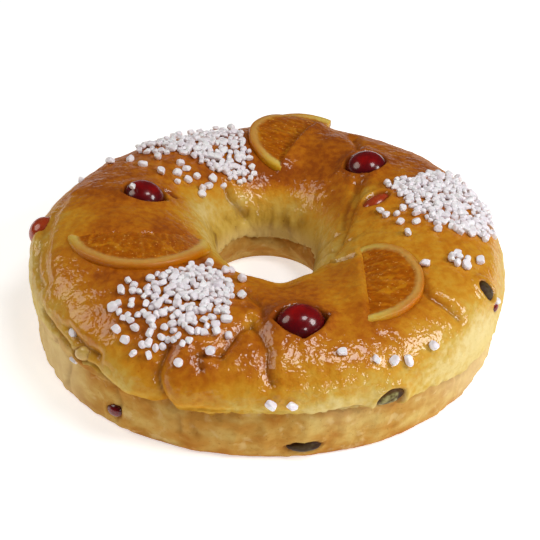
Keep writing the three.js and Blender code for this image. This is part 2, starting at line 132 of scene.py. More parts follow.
# Fruit set into the dough: size along the ring, across it and out of it, how far the middle lies
# under the skin, how far the dough swells round it, and where they differ from none, how far it is
# turned on the skin, the pointed corners of its socket as direction from the ring's own and reach
# beyond the fruit, and as lip how much further the dough has closed up round it.
FRUITS = [
    {"name": "cherry_front", "at": [280, 46.4], "size": [CHERRY, 0.9 * CHERRY, 0.86 * CHERRY],
     "sink": 2.4, "rim": 2.2, "corners": [[5, 3], [175, 3], [-92, 2.6]]},
    {"name": "cherry_left", "at": [171, 52.3], "size": [0.86 * CHERRY, 0.92 * CHERRY, 0.8 * CHERRY],
     "sink": 2.6, "rim": 1.6, "corners": [[90, 2.6], [190, 2], [-60, 2]]},
    {"name": "cherry_right", "at": [46, 51], "size": [CHERRY, 0.94 * CHERRY, 0.84 * CHERRY],
     "sink": 2.6, "rim": 2, "corners": [[-40, 3], [60, 2], [150, 2.6]]},
    {"name": "cherry_edge", "at": [183, 32.5], "size": [0.72 * CHERRY, 0.7 * CHERRY, 0.66 * CHERRY],
     "sink": 2.2, "rim": 1},
    {"name": "cherry_lens", "at": [15, 55.4], "size": [10, 17, 9], "sink": 2.6, "rim": 1.4, "turn": 20},
    {"name": "cherry_foot", "at": [234, 10.5], "size": [9, 7, 6], "sink": 0.8, "rim": 0.3, "turn": 10,
     "lip": 0.6},
    {"name": "fruit_foot", "at": [279, 9], "size": [16, 6.5, 7], "sink": 1, "rim": 0.2,
     "corners": [[0, 2], [180, 2]], "lip": 0.6},
    {"name": "fruit_side", "at": [298, 23], "size": [16, 9, 7], "sink": 1, "rim": 0.6, "turn": 12,
     "lip": 1.4},
    {"name": "fruit_right", "at": [335, 35], "size": [9, 11, 7], "sink": 0.8, "rim": 0.6, "lip": 2},
    {"name": "cherry_chip", "at": [336, 30], "size": [6, 6, 5], "sink": 0.6, "rim": 0.2, "lip": 0.6},
    {"name": "peel_left", "at": [226.5, 26.4], "size": [10, 7, 6], "sink": 0.4, "rim": 0.4, "turn": 30,
     "lip": 1.6},
]

# Fruit longer than this is built with the finest ball. Some pieces are paler or darker than their
# kind, and one cherry has left its socket empty.
LARGE_FRUIT = 16.2
AMBER_FRUITS = ["cherry_edge", "cherry_lens"]
DARK_FRUITS = ["fruit_foot", "fruit_right"]
EMPTY_SOCKET = {"at": [160.5, 56], "size": [8, 11, 7], "rim": 0.8}

# Places that baked browner or stayed paler than the rest, each with how much and its reach in mm.
# The paler place at [10, 57] is painted light on the slope down into the hole on its right, and the
# one at [188, 40] is painted sheen on the far left of the dome.
BAKED_AND_PAINTED_LIGHT = [
    [[55, 47], 0.2, 26], [[75, 61], 0.15, 20], [[45, 62], 0.1, 14], [[100, 61], 0.25, 14],
    [[188, 40], -0.35, 20], [[335, 12], -0.25, 22], [[212, 12], -0.3, 26], [[10, 57], -0.45, 18],
    [[325, 30], -0.3, 30], [[352, 33], -0.3, 26], [[252, 25], 0.4, 26], [[225, 46], 0.12, 25],
    [[180, 59], -0.35, 14], [[150, 59], -0.35, 14], [[205, 33], -0.2, 22], [[265, 46.2], -0.7, 5],
    [[26, 56.5], -0.7, 8], [[288, 27], -0.15, 20], [[268, 50], 0.15, 16], [[330, 47], -0.3, 20],
    [[345, 54], -0.2, 20], [[192, 30], -0.3, 22], [[323, 58.8], -0.5, 11], [[343, 60], -0.3, 11],
    [[304, 52], -0.25, 16], [[318, 45], -0.28, 30],
]

# Half slices of candied orange: the middle of the straight edge as angle and distance from the
# ring's axis, radius, the direction its rind faces, how far the rind stands up and the straight
# edge is tucked in, how far it stays flat, how far the dough closes over the straight edge and how
# high, how much painted shade darkens the gap that it leaves there and how gently it slopes down to
# the slice, and where the slice's membranes run, in degrees from the middle of its rind.
SLICES = [
    {"name": "orange_left", "angle": 198, "distance": 67, "radius": 34.5, "facing": 277, "lift": -0.4,
     "tuck": 3, "flatness": 0.2, "cover": 4, "lip": 0.1, "gap": 0, "blend": 7,
     "membranes": [-64, -30, 4, 38, 66]},
    {"name": "orange_back", "angle": 78, "distance": 88, "radius": 32.5, "facing": 154, "lift": 1.2,
     "tuck": 2.6, "flatness": 0.7, "cover": 2.5, "lip": 3, "gap": 0.3, "blend": 2.5,
     "membranes": [-58, -20, 12, 48]},
    {"name": "orange_right", "angle": 310, "distance": 67, "radius": 28.5, "facing": 2, "lift": 0.2,
     "tuck": 3, "flatness": 0.2, "cover": 0.6, "lip": 1.2, "gap": 0.5, "blend": 3.5,
     "membranes": [-52, -14, 22, 60]},
]
SLICE_COLUMNS = 96
SLICE_ROWS = 40
RIND_ROWS = 12
RIND_START = 0.965
FLESH_RING = 0.86
FLESH_SINK = 0.6

# Pearl sugar. Patches are [place, reach along the ring, reach across it, grains]. The solid has the
# grains of SUGAR_PATCHES and the single ones of SUGAR_STRAYS. Smaller ones fill SUGAR_HEARTS and lie
# apart in SMALL_STRAYS.
SUGAR_PATCHES = [
    [[243, 46.5], 27, 25, 36],
    [[9, 43.5], 32, 26, 44],
    [[122, 50], 40, 23, 38],
]
SUGAR_HEARTS = [
    [[242, 49], 19, 13, 92],
    [[240, 45.5], 22, 17, 36],
    [[8, 43], 28, 15, 150],
    [[18, 50.5], 8, 8, 16],
    [[113, 50], 21, 15, 90],
    [[130, 44], 18, 9, 30],
    [[108, 58], 9, 6, 14],
    [[338, 42.4], 4.5, 3.5, 6],
]
SUGAR_STRAYS = [
    [162, 38], [151.5, 41], [143, 54], [329.5, 46], [337, 41], [311, 34], [296, 36], [300, 34.5],
    [303.5, 33.5], [288.5, 39], [271, 26], [275.5, 26], [256, 56], [256, 39], [222, 30],
]
SUGAR_ON_CHERRY = {"at": [176, 50.6], "size": 0.8}
SMALL_STRAYS = [
    [344, 50.5], [342, 39], [336.5, 31], [352, 52], [141, 61], [138, 60], [255, 44], [236, 36],
    [223.5, 20.5],
]
CHERRY_CROWN = 4.6

# How the grains are spread and cut, and what their draws start from
GRAIN_SPACING = 4.7
CLOSE_SPACING = 2.4
GRAIN_MARGIN = 3.4
TRIES_PER_GRAIN = 40
GRAIN_SHARPNESS = 22
PLACE_SEED = 1706
DRAWS = 40000
DRAW_FACTOR = 16807
DRAW_MODULUS = 2147483647
GRAIN_SEED = 5

# The dough's mesh
COLUMNS = 576
TOP_ROWS = 156
UNDER_ROWS = 12
MERGE_DISTANCE = 1e-7

# The camera's view, as in the photograph
PHOTO_WIDTH = 540
FOCAL_PIXELS = 1287
SENSOR_MM = 36
CAMERA_RISE = 36
CAMERA_DISTANCE = 700
CAMERA_TARGET = (0, 33.5, 0)
CAMERA_ROLL = 1.6

# Round soft lamps: name, azimuth, elevation, distance and width in metres, power, and tint
LAMPS = [
    ["left", 176, 38, 1.1, 0.58, 3.4, (1, 0.93, 0.82)],
    ["right", -18, 36, 1.1, 0.43, 5.6, (1, 1, 1)],
    ["front", -62, 22, 1.2, 0.2, 1.2, (1, 1, 1)],
    ["above", -30, 69, 1.1, 0.38, 3.7, (1, 1, 1)],
]
FLOOR_REACH = 5


def swing(swings, angle):
    return sum(amount * np.cos(np.radians(waves * (angle - crest))) for waves, amount, crest in swings)


def bell(distance, reach):
    return np.exp(-((distance / reach) ** 2))


def smoothstep(value, low, high):
    share = np.clip((value - low) / (high - low), 0, 1)
    return share * share * (3 - 2 * share)


def turn_from(start, angle):
    """Degrees round the ring from a start to an angle, between -180 and 180."""
    return (angle - start + 540) % 360 - 180


def grid(first, second):
    """Every pair of a value of the first list and one of the second, as two flat arrays."""
    return [part.ravel() for part in np.meshgrid(first, second, indexing="ij")]


def unit(vectors):
    return vectors / np.linalg.norm(vectors, axis=-1, keepdims=True)


def dot(first, second):
    return (first * second).sum(-1)


def roughness_at(points, scale, octaves=3, seed=0):
    """Fractal noise of about -1 to 1 at each point, whose largest lumps are scale apart."""
    shift = Vector((17.3 * seed, 5.1 * seed, 9.7 * seed))
    return np.array([noise.fractal(Vector(point) / scale + shift, 1, 2, octaves) for point in points])


def face_corner(index, angle):
    """Corners of the cut face at angles round the ring: distance from the axis, height."""
    across, up, follow = FACE[np.clip(index, 0, FACE_SPANS)].T
    outer = OUTER_RADIUS + swing(OUTER_SWINGS, angle)
    hole = HOLE_RADIUS + swing(HOLE_SWINGS, angle)
    height = HEIGHT + swing(HEIGHT_SWINGS, angle)
    distance = outer + (hole - outer) * across
    return np.stack([distance, up * height + follow * swing(CREASE_SWINGS, angle)], -1)


def face_at(angle, girth):
    """The smooth cut face, a Catmull-Rom curve through its corners: distance from the axis, height."""
    angle, girth = np.broadcast_arrays(np.asarray(angle, float), np.asarray(girth, float))
    shape = angle.shape
    angle, girth = angle.ravel(), girth.ravel()
    place = np.clip(girth, 0, 100) / 100 * FACE_SPANS
    span = np.minimum(place.astype(int), FACE_SPANS - 1)
    t = (place - span)[:, None]
    a, b, c, d = (face_corner(span + step, angle) for step in (-1, 0, 1, 2))
    curve = 0.5 * (2 * b + (c - a) * t + (2 * a - 5 * b + 4 * c - d) * t**2 + (3 * b - a - 3 * c + d) * t**3)
    curve[:, 1] = np.maximum(curve[:, 1], 0)
    return curve.reshape(*shape, 2)


def smooth_skin(angle, girth):
    face = face_at(angle, girth)
    turn = np.radians(np.broadcast_to(angle, face.shape[:-1]))
    return np.stack([face[..., 0] * np.cos(turn), face[..., 0] * np.sin(turn), face[..., 1]], -1)


def spread_over(points, places):
    """The sum at each point of amounts that fade out round places on the skin."""
    total = np.zeros(len(points))
    for at, amount, reach in places:
        total += amount * bell(np.linalg.norm(points - smooth_skin(*at), axis=1), reach)
    return total


def skin_frame(angle, girth):
    """Directions on the skin: along the ring, across it towards the hole, and out of the dough."""
    angle, girth = np.asarray(angle, float), np.asarray(girth, float)
    step = 0.5
    along = unit(smooth_skin(angle + step, girth) - smooth_skin(angle - step, girth))
    across = unit(smooth_skin(angle, girth + step) - smooth_skin(angle, girth - step))
    out = unit(np.cross(along, across))
    return along, np.cross(out, along), out


def crease_line(path):
    """A crease's path as points on the smooth skin."""
    points = []
    for (angle, girth), (next_angle, next_girth) in zip(path, path[1:]):
        turn = turn_from(angle, next_angle)
        for step in range(CREASE_STEPS):
            share = step / CREASE_STEPS
            points.append(smooth_skin(angle + turn * share, girth + (next_girth - girth) * share))
    points.append(smooth_skin(*path[-1]))
    return np.array(points)


def near_line(line, points, out):
    """Distance of points from a line on the skin, and the side of it that they are on."""
    nearest = np.full(len(points), np.inf)
    side = np.zeros(len(points))
    for start, end in zip(line, line[1:]):
        stretch = end - start
        share = np.clip((points - start) @ stretch / (stretch @ stretch), 0, 1)
        offset = points - start - share[:, None] * stretch
        distance = np.linalg.norm(offset, axis=1)
        closer = distance < nearest
        nearest[closer] = distance[closer]
        side[closer] = np.sign(dot(np.cross(stretch, offset), out))[closer]
    return nearest, side


def fold_relief(points, out):
    """How far the folds move the skin out, and how deep in a fold each point is, for the painted shade
    there.
    """
    rise = np.zeros(len(points))
    depth = np.zeros(len(points))
    for path, deep, width, raised, slit in CREASES + FINE_CREASES:
        nearest, side = near_line(crease_line(path), points, out)
        lobe = np.maximum(raised * side, 0)
        rise += 0.8 * lobe * smoothstep(nearest, 0, 1.5 * width) * bell(nearest, 3 * width)
        rise -= 0.75 * deep * bell(nearest, width) + slit * bell(nearest, 1.1)
        depth = np.maximum(depth, bell(nearest, 1.3) * min(slit, 1))
    return rise, depth


def socket_edge(fruit, direction):
    """Radius of a fruit's socket in a direction, with its pointed corners."""
    along, across = fruit["size"][0] / 2, fruit["size"][1] / 2
    turned = direction - math.radians(fruit.get("turn", 0))
    edge = 0.9 / np.sqrt((np.cos(turned) / along) ** 2 + (np.sin(turned) / across) ** 2)
    for corner, reach in fruit.get("corners", []):
        apart = np.abs(turn_from(corner, np.degrees(direction)))
        edge = edge + reach * np.exp(-apart / 16)
    return edge


def socket_relief(points):
    """The rise round and in the sockets of the fruit, how deep in one each point is for the painted shade
    there, and how near.
    """
    rise = np.zeros(len(points))
    depth = np.zeros(len(points))
    halo = np.zeros(len(points))
    for fruit in FRUITS + [EMPTY_SOCKET]:
        along, across, _ = skin_frame(*fruit["at"])
        offset = points - smooth_skin(*fruit["at"])
        near = np.linalg.norm(offset, axis=1) < max(fruit["size"][:2]) * 1.4
        x, y = offset[near] @ along, offset[near] @ across
        beyond = np.hypot(x, y) - socket_edge(fruit, np.arctan2(y, x))
        away = np.maximum(beyond, 0)
        deep = 0.3 * fruit["size"][2]
        swelling = 0.9 * fruit["rim"] + fruit.get("lip", 0) * bell(away, 3)
        rise[near] += swelling * smoothstep(beyond, -0.6, 1.4) * bell(away, 4.2)
        rise[near] -= deep * smoothstep(-beyond, -0.3, 2.2)
        depth[near] = np.maximum(depth[near], smoothstep(-beyond, -1.2, 0.8))
        halo[near] = np.maximum(halo[near], bell(away, 6))
    return rise, depth, halo


def slice_place(slice_, x, y):
    """How far points lie forward of a slice's straight edge, and sideways along it."""
    turn = math.radians(slice_["facing"])
    start = math.radians(slice_["angle"])
    dx = x - slice_["distance"] * math.cos(start)
    dy = y - slice_["distance"] * math.sin(start)
    return dx * math.cos(turn) + dy * math.sin(turn), dy * math.cos(turn) - dx * math.sin(turn)


def slice_relief(points, girth):
    """How the dough gives way under the slices and closes over their straight edges.

    Returns the rise, the painted shade in the dark line round a slice's edge, and how near to one.
    """
    rise = np.zeros(len(points))
    depth = np.zeros(len(points))
    halo = np.zeros(len(points))
    on_top = smoothstep(girth, 32, 39) * smoothstep(79 - girth, 0, 5)
    for slice_ in SLICES:
        forward, sideways = slice_place(slice_, points[:, 0], points[:, 1])
        outside = np.hypot(forward, sideways) - slice_["radius"]
        behind = slice_["cover"] - forward
        beyond = np.maximum(behind, outside)
        away = np.maximum(beyond, 0)
        along_edge = smoothstep(slice_["radius"] + 3 - np.abs(sideways), 0, 8)
        lip = slice_["lip"] * smoothstep(behind, -1.5, 1.5) * along_edge
        rise += on_top * lip * smoothstep(beyond, -1, 1.5) * bell(away, 7)
        slope = np.where(behind > outside, slice_["blend"], 2.5)
        rise -= on_top * 3 * smoothstep(-beyond, -0.5, slope)
        # Painted shade round each slice's edge, at the gap's strength along the straight edge
        dark = np.where(behind > outside, slice_["gap"], 1)
        depth = np.maximum(depth, on_top * dark * bell(beyond, 1.2))
        halo = np.maximum(halo, on_top * bell(away, 10))
    return rise, depth, halo


def seam_relief(angle, girth, points):
    """The dome bulges over the ragged seam between it and the paler foot, outside and in the hole.

    Returns the rise, the painted shade in the seam and its torn hollows, and how far above it in mm.
    """
    ragged = 1.2 * roughness_at(points, 7, 3, 4)
    outside = (girth - SEAM_GIRTH - swing(SEAM_SWINGS, angle)) * MM_PER_GIRTH + ragged
    inside = (HOLE_SEAM_GIRTH + swing(SEAM_SWINGS, angle + 70) - girth) * MM_PER_GIRTH + 1.6 * ragged
    rise = -2.2 * bell(outside, 1.6) + 1.6 * bell(outside - 4, 3.5)
    rise += -1.1 * bell(inside, 1.4) + 1.2 * bell(inside - 3.5, 3)
    torn = roughness_at(points, 3.2, 3, 5)
    rise += 0.8 * torn * (1.3 * bell(outside - 1, 3.5) + 1.6 * bell(inside - 3, 4))
    below = smoothstep(-np.minimum(outside, inside), 0, 3)
    rise += below * (1.1 * roughness_at(points * [1, 1, 0.4], 8, 3, 6) + 0.35 * torn)
    # Painted shade in the hollows of the torn dough just above the seam
    torn_hollow_shade = 0.7 * bell(outside - 1.5, 3.5) * smoothstep(-torn, 0.15, 0.5)
    depth = np.maximum(np.maximum(bell(outside, 0.9), 0.8 * bell(inside, 1.3)), torn_hollow_shade)
    return rise, depth, np.minimum(outside, inside)


def dough_rows():
    """Girths of the mesh's rows, evenly spaced over the dough."""
    girths = np.linspace(0, 100, 2001)
    face = face_at(90.0, girths)
    lengths = np.concatenate([[0], np.cumsum(np.linalg.norm(np.diff(face, axis=0), axis=1))])
    return np.interp(np.linspace(0, lengths[-1], TOP_ROWS), lengths, girths)


def unevenness(points, top):
    """Slow waves all over, and finer bumps that are larger and drawn out below the dome's top."""
    drawn_out = points * [1, 1, 0.35]
    bumps = (0.25 + 0.15 * (1 - top)) * roughness_at(points, 6, 3, 2)
    bumps += 0.35 * (1 - top) * roughness_at(drawn_out, 6, 2, 3)
    return 0.5 * roughness_at(points, 22, 2, 1) + bumps


def dough_skin(angle, girth):
    """Points of the detailed skin, with the looks that go with each place."""
    points = smooth_skin(angle, girth)
    _, _, out = skin_frame(angle, girth)
    folds, fold_depth = fold_relief(points, out)
    sockets, socket_depth, socket_halo = socket_relief(points)
    beds, bed_depth, bed_halo = slice_relief(points, girth)
    seams, seam_depth, above_seam = seam_relief(angle, girth, points)
    lower = BROWNED_WALL_GIRTH * bell(turn_from(BROWNED_WALL_TOWARDS, angle), 45)
    top = smoothstep(girth, 21, 45) * smoothstep(100 - girth + lower, 33, 43)
    rise = folds + sockets + beds + seams + spread_over(points, LUMPS + FINE_LUMPS)
    rise += unevenness(points, top)
    rise *= smoothstep(girth, 1, 8) * smoothstep(100 - girth, 1, 8)
    brown = top * (0.9 + 0.2 * np.maximum(socket_halo, 0.6 * bed_halo))
    climb = SEAM_CLIMBS["girth"] * bell(turn_from(SEAM_CLIMBS["towards"], angle), SEAM_CLIMBS["reach"])
    looks = {
        "brown": np.clip(brown + spread_over(points, BAKED_AND_PAINTED_LIGHT), -0.3, 1.2),
        "band": 1 - smoothstep(above_seam - MM_PER_GIRTH * climb, -0.6, 0.6),
        "wall": smoothstep(girth - 1.5 * lower, 64, 73),
        # shadow, fold, socket and bed carry painted shade: on the hole's wall, in the folds and seam, in the
        # sockets and by the slices
        "shadow": smoothstep(girth, 66, 78) * bell(turn_from(SHADED_TOWARDS, angle), 60),
        "fold": np.maximum(fold_depth, 0.8 * seam_depth),
        "socket": socket_depth,
        "bed": bed_depth,
        "girth": girth / 100,
    }
    return points + rise[:, None] * out, looks


def make_piece(name, points, faces, material, nodes, looks=None, smooth=True):
    """A piece from points in millimetres round the ring's axis, standing for CAD nodes."""
    mesh = bpy.data.meshes.new(name)
    mesh.from_pydata(((np.asarray(points) + AXIS) * MM).tolist(), [], faces)
    for look, values in (looks or {}).items():
        attribute = mesh.attributes.new(look, "FLOAT", "POINT")
        attribute.data.foreach_set("value", np.asarray(values, np.float32))
    merge_close(mesh)
    if smooth:
        mesh.shade_smooth()
    mesh.materials.append(material)
    piece = bpy.data.objects.new(name, mesh)
    bpy.context.scene.collection.objects.link(piece)
    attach(piece, "root")
    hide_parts(*nodes)


def merge_close(mesh):
    """Joins corners that meet, with every face turned out."""
    made = bmesh.new()
    made.from_mesh(mesh)
    bmesh.ops.remove_doubles(made, verts=made.verts, dist=MERGE_DISTANCE)
    bmesh.ops.recalc_face_normals(made, faces=made.faces)
    made.to_mesh(mesh)
    made.free()


def make_dough(material):
    """The detailed skin as a closed mesh, with a flat underside between its two feet."""
    angle, girth = grid(np.arange(COLUMNS) * 360 / COLUMNS, dough_rows())
    points, looks = dough_skin(angle, girth)
    points = points.reshape(COLUMNS, TOP_ROWS, 3)
    shares = (np.arange(UNDER_ROWS) + 1) / (UNDER_ROWS + 1)
    under = points[:, -1:] + (points[:, :1] - points[:, -1:]) * shares[None, :, None]
    points = np.concatenate([points, under], 1).reshape(-1, 3)
    for look, values in looks.items():
        beneath = np.full((COLUMNS, UNDER_ROWS), 1.0 if look == "band" else 0.0)
        looks[look] = np.concatenate([values.reshape(COLUMNS, TOP_ROWS), beneath], 1).ravel()
    rows = TOP_ROWS + UNDER_ROWS
    column, row = grid(np.arange(COLUMNS), np.arange(rows))
    here, beside, above = column * rows, (column + 1) % COLUMNS * rows, (row + 1) % rows
    faces = np.stack([here + row, beside + row, beside + above, here + above], -1)
    make_piece("dough", points, faces.tolist(), material, ["bread"], looks)


def ball(detail):
    """Corners and triangles of a ball of radius a half."""
    made = bmesh.new()
    bmesh.ops.create_icosphere(made, subdivisions=detail, radius=0.5)
    corners = np.array([vertex.co for vertex in made.verts])
    faces = np.array([[vertex.index for vertex in face.verts] for face in made.faces])
    made.free()
    return corners, faces


def skin(angle, girth):
    """The skin as the solid has it, for what rests on it."""
    points = smooth_skin(angle, girth).reshape(-1, 3)
    _, _, out = skin_frame(angle, girth)
    flat_out = out.reshape(-1, 3)
    rise = spread_over(points, LUMPS)
    for path, deep, width, raised, _ in CREASES:
        nearest, side = near_line(crease_line(path), points, flat_out)
        lobe = np.maximum(raised * side, 0)
        rise += lobe * smoothstep(nearest, 0, width) * bell(nearest, 3 * width)
        rise -= deep * bell(nearest, width)
    for fruit in FRUITS:
        radius = (fruit["size"][0] + fruit["size"][1]) / 4 + 1.5
        away = np.linalg.norm(points - smooth_skin(*fruit["at"]), axis=1)
        rise += fruit["rim"] * bell(away - radius, 3)
    return (points + rise[:, None] * flat_out).reshape(out.shape)


def fruit_points(fruit, corners):
    """A ball's corners as a slightly uneven piece of fruit in its place."""
    along, across, out = skin_frame(*fruit["at"])
    middle = skin(*fruit["at"]) - out * (fruit["sink"] + 0.4 * fruit["rim"])
    uneven = 1 + 0.08 * corners[:, 0] * corners[:, 1] - 0.05 * np.abs(corners[:, 2])
    sized = corners * fruit["size"] * uneven[:, None]
    turn = math.radians(fruit.get("turn", 0))
    x = sized[:, 0] * math.cos(turn) - sized[:, 1] * math.sin(turn)
    y = sized[:, 0] * math.sin(turn) + sized[:, 1] * math.cos(turn)
    return middle + x[:, None] * along + y[:, None] * across + sized[:, 2:] * out


def make_fruit(fruit, material, slot):
    large = fruit["size"][0] > LARGE_FRUIT
    corners, faces = ball(6 if large else 5)
    wrinkle = 0.012 if fruit["name"].startswith("cherry") else 0.05
    bumps = roughness_at(corners + len(fruit["name"]) + fruit["at"][0], 0.35, 3)
    points = fruit_points(fruit, corners * (1 + wrinkle * bumps)[:, None])
    looks = {
        "dark": np.full(len(corners), float(fruit["name"] in DARK_FRUITS)),
        "crown": corners[:, 2] * 2,
        "along": corners[:, 0] * 2,
        "amber": np.full(len(corners), float(fruit["name"] in AMBER_FRUITS)),
    }
    name = fruit["name"]
    make_piece(name + "_fruit", points, faces.tolist(), material, [name], looks)


def girth_on_top(angle, distance):
    """The girth at which the top of the dough is at a distance from the axis."""
    outside = np.full(np.shape(angle), WIDEST_GIRTH + 3.0)
    inside = np.full(np.shape(angle), HOLE_WAIST_GIRTH - 3.0)
    for _ in range(30):
        middle = (outside + inside) / 2
        beyond = face_at(angle, middle)[..., 0] > distance
        outside = np.where(beyond, middle, outside)
        inside = np.where(beyond, inside, middle)
    return (outside + inside) / 2


def top_height(x, y):
    angle = np.degrees(np.arctan2(y, x))
    return face_at(angle, girth_on_top(angle, np.hypot(x, y)))[..., 1]


def slice_points(slice_, forward, sideways, up):
    """Points of a slice: forward of its straight edge, sideways along it, and up from its middle."""
    turn, start = math.radians(slice_["facing"]), math.radians(slice_["angle"])
    start_x, start_y = slice_["distance"] * math.cos(start), slice_["distance"] * math.sin(start)
    x = start_x + forward * math.cos(turn) - sideways * math.sin(turn)
    y = start_y + forward * math.sin(turn) + sideways * math.cos(turn)
    middle = 0.42 * slice_["radius"]
    level = top_height(start_x + middle * math.cos(turn), start_y + middle * math.sin(turn))
    draped = top_height(x, y) * (1 - slice_["flatness"]) + level * slice_["flatness"]
    share = forward / slice_["radius"]
    return np.stack([x, y, draped + slice_["lift"] * share - slice_["tuck"] * (1 - share) ** 2 + up], -1)


def slice_profile():
    """A slice from its middle over the top and round the rind to its middle below: share, level, side."""
    shares = np.linspace(0, RIND_START, SLICE_ROWS)
    top = [[share, 1, 0] for share in shares]
    rind = [
        [RIND_START + (1 - RIND_START) * math.cos(turn), math.sin(turn), 0.5 - 0.5 * math.sin(turn)]
        for turn in np.linspace(math.pi / 2, -math.pi / 2, RIND_ROWS + 2)[1:-1]
    ]
    bottom = [[share, -1, 1] for share in shares[::-1]]
    return np.array(top + rind + bottom)


def flesh_relief(slice_, share, spread, seed):
    """Flesh sunk under the pith, with membranes and pulp that stand up a little."""
    flesh = 1 - smoothstep(share, FLESH_RING - 0.03, FLESH_RING + 0.03)
    membrane = np.zeros(len(share))
    for middle in slice_["membranes"]:
        away = np.sin(np.radians(spread - middle)) * share * slice_["radius"]
        membrane = np.maximum(membrane, bell(away, 0.7))
    pulp_places = np.stack([share * spread / 6, share * 6, np.zeros(len(share))], -1)
    pulp = roughness_at(pulp_places, 1, 3, seed)
    return flesh * (0.25 * pulp + 0.1 * membrane - FLESH_SINK), membrane * flesh


def slice_faces(rows):
    """Faces of a slice's fan of profiles, and those that close it along its straight edge."""
    here = (np.arange(SLICE_COLUMNS)[:, None] * rows + np.arange(rows - 1)[None]).ravel()
    faces = [[a, a + 1, a + rows + 1, a + rows] for a in here]
    last = SLICE_COLUMNS * rows
    for step in range(rows // 2):
        low = rows - 1 - step
        if step + 1 < low:
            faces.append([step, low, low - 1, step + 1])
            faces.append([last + step + 1, last + low - 1, last + low, last + step])
    return faces


def make_slice(slice_, material, seed):
    profile = slice_profile()
    spread, row = grid(np.linspace(-90, 90, SLICE_COLUMNS + 1), np.arange(len(profile)))
    share, level, side = profile[row].T
    turn = np.radians(spread)
    uneven = 1 + 0.007 * np.sin(4 * turn + seed) + 0.003 * np.sin(11 * turn)
    forward = share * np.cos(turn) * slice_["radius"] * uneven
    sideways = share * np.sin(turn) * slice_["radius"] * uneven
    flesh, membrane = flesh_relief(slice_, share, spread, seed)
    up = level * SLICE_THICKNESS / 2 + np.where(level > 0.99, flesh, 0)
    points = slice_points(slice_, forward, sideways, up)
    looks = {"share": share, "spread": spread / 90, "side": side, "membrane": membrane}
    name = slice_["name"]
    make_piece(name + "_slice", points, slice_faces(len(profile)), material, [name], looks)


def seeded_draws(seed, count):
    """The same draws of 0 to 1 as the solid's grains are placed by."""
    state = seed
    draws = []
    for _ in range(count):
        state = state * DRAW_FACTOR % DRAW_MODULUS
        draws.append(state / DRAW_MODULUS)
    return np.array(draws)


def clear_of_fruit(points):
    """Which places on the skin are clear of every cherry, chip and slice."""
    clear = np.full(len(points), True)
    for fruit in FRUITS:
        reach = max(fruit["size"][:2]) / 2 + GRAIN_MARGIN
        clear &= np.linalg.norm(points - smooth_skin(*fruit["at"]), axis=1) >= reach
    for slice_ in SLICES:
        forward, sideways = slice_place(slice_, points[:, 0], points[:, 1])
        beyond = np.hypot(forward, sideways) >= slice_["radius"] + GRAIN_MARGIN
        clear &= (forward <= -GRAIN_MARGIN) | beyond
    return clear


def fill_patch(patch, taken, spacing, draws):
    """Clear places in a patch, each at least spacing from those taken, and how many draws it took."""
    at, along, across, count = patch
    tries = TRIES_PER_GRAIN * count
    reach, turn = draws[: 2 * tries].reshape(-1, 2).T
    reach, turn = np.sqrt(reach), 2 * math.pi * turn
    angles = at[0] + np.degrees(along * reach * np.cos(turn) / face_at(*at)[0])
    girths = at[1] + across * reach * np.sin(turn) / MM_PER_GIRTH
    points = skin(angles, girths)
    clear = clear_of_fruit(points)
    places = []
    used = 0
    while used < tries and len(places) < count:
        point = points[used]
        if clear[used] and np.linalg.norm(np.array(taken) - point, axis=1).min() >= spacing:
            taken.append(point)
            places.append([angles[used], girths[used]])
        used += 1
    return places, 2 * used


def sugar_places():
    """Places and sizes of the grains: those of the solid first, then those that lie between them."""
    draws = seeded_draws(PLACE_SEED, DRAWS)
    places = [[at, GRAIN] for at in SUGAR_STRAYS]
    taken = [skin(*at) for at in SUGAR_STRAYS]
    for patch in SUGAR_PATCHES:
        found, used = fill_patch(patch, taken, GRAIN_SPACING, draws)
        draws = draws[used:]
        for order, at in enumerate(found):
            places.append([at, GRAIN * (1.05 - 0.25 * (order + 1) / patch[-1])])
    for patch in SUGAR_HEARTS:
        found, used = fill_patch(patch, taken, CLOSE_SPACING, draws)
        draws = draws[used:]
        places += [[at, GRAIN * (0.64 + 0.24 * share)] for at, share in zip(found, draws)]
    places += [[at, 0.9 * GRAIN] for at in SMALL_STRAYS]
    return places


def grain_points(directions, size, place, out, chance):
    """A nib of pearl sugar: a ball cut flat by planes on all sides, with its edges rounded."""
    sides = np.concatenate([np.eye(3), -np.eye(3), chance.normal(0, 0.8, (2, 3))])
    planes = unit(sides + chance.normal(0, 0.2, (8, 3)))
    depths = chance.uniform(0.75, 1.05, 8)
    pressed = np.maximum(directions @ planes.T / depths, 0) ** GRAIN_SHARPNESS
    reach = (pressed.sum(1) + 0.02) ** (-1 / GRAIN_SHARPNESS)
    stretch = chance.uniform([0.4, 0.34, 0.3], [0.56, 0.46, 0.4])
    local = directions * reach[:, None] * stretch * size
    turned = Matrix.Rotation(chance.uniform(0, 2 * math.pi), 3, "Z")
    tipped = Matrix.Rotation(chance.normal(0, 0.45), 3, "X")
    lean = Vector((0, 0, 1)).rotation_difference(Vector(out)).to_matrix()
    heaped = chance.uniform(0.15, 0.42)
    return local @ np.array(lean @ turned @ tipped).T + place + out * heaped * size


def sugar_grains():
    """Size, place and direction out of the dough of every grain, one of them on a cherry."""
    places = sugar_places()
    beds = skin(*np.array([at for at, _ in places]).T)
    grains = [[size, bed, skin_frame(*at)[2]] for (at, size), bed in zip(places, beds)]
    at = SUGAR_ON_CHERRY["at"]
    out = skin_frame(*at)[2]
    return grains + [[SUGAR_ON_CHERRY["size"] * GRAIN, skin(*at) + out * CHERRY_CROWN, out]]


